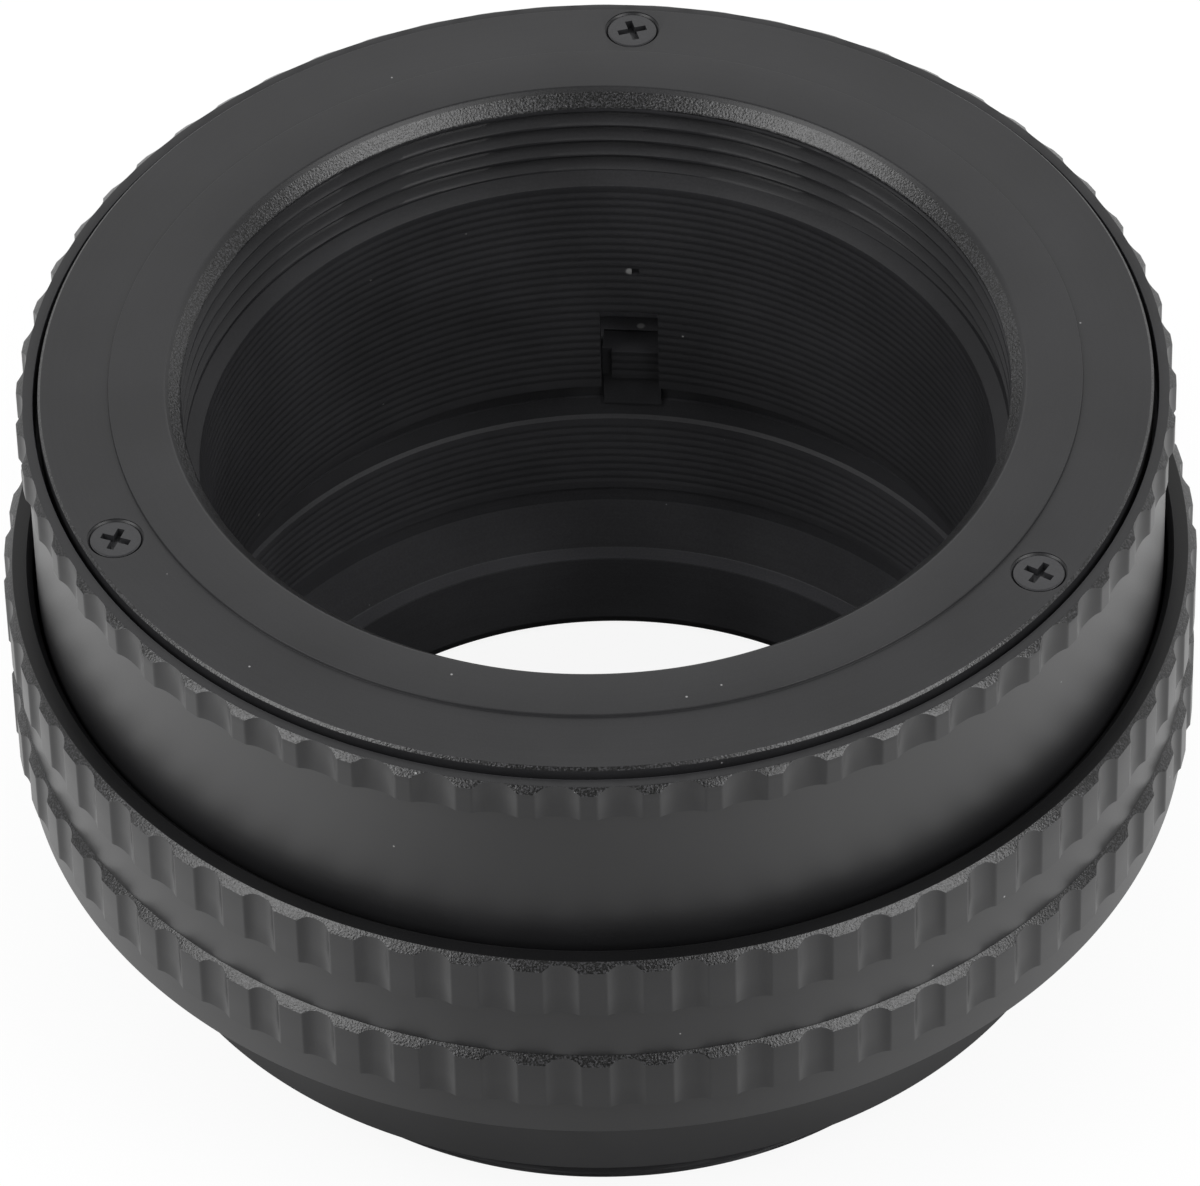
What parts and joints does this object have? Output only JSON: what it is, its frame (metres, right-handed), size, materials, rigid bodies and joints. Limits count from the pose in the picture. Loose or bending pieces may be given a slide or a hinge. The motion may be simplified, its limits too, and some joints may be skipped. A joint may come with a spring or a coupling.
{
  "type": "focusing helicoid adapter",
  "caption": "Black lens-mount adapter tube with scalloped grip rings, a turning focus ring, a front barrel that slides out and threads at both ends.",
  "frame": {"origin": "on the axis at the end of the male thread", "axes": "+Z along the light path towards the lens side, +Y through one plate screw and the guide key"},
  "size_m": [0.0596, 0.0596, 0.0362],
  "materials": {
    "base_black": "black anodised, fine turned satin",
    "key_black": "black anodised",
    "key_screw_steel": "blackened steel",
    "sleeve_black": "black anodised, greased",
    "lower_ring_black": "black anodised, fine blasted satin",
    "upper_ring_black": "black anodised, fine blasted satin",
    "front_black": "black anodised, fine blasted satin",
    "plate_black": "black anodised, fine blasted satin",
    "plate_screw_steel": "blackened steel"
  },
  "bodies": {
    "base": {"base_barrel": "base_black", "guide_key": "key_black", "key_screws": "key_screw_steel"},
    "sleeve": {"helicoid_sleeve": "sleeve_black"},
    "ring": {"lower_focus_ring": "lower_ring_black", "upper_focus_ring": "upper_ring_black"},
    "front": {"front_barrel": "front_black", "mount_plate": "plate_black", "plate_screws": "plate_screw_steel"}
  },
  "joints": [
    {"name": "ring_climb", "type": "slide", "parent": "base", "child": "sleeve", "axis": [0, 0, 1], "range_m": [-0.0056, 0]},
    {"name": "ring_turn", "type": "hinge", "parent": "sleeve", "child": "ring", "pos_m": [0, 0, 0.019], "axis": [0, 0, 1], "range_deg": [-269, 0]},
    {"name": "front_extend", "type": "slide", "parent": "base", "child": "front", "axis": [0, 0, 1], "range_m": [-0.0112, 0]}
  ],
  "couplings": [
    {"joint": "ring_climb", "follows": "front_extend", "ratio": 0.5},
    {"joint": "ring_turn", "follows": "front_extend", "rad_per_m": 418.88}
  ]
}
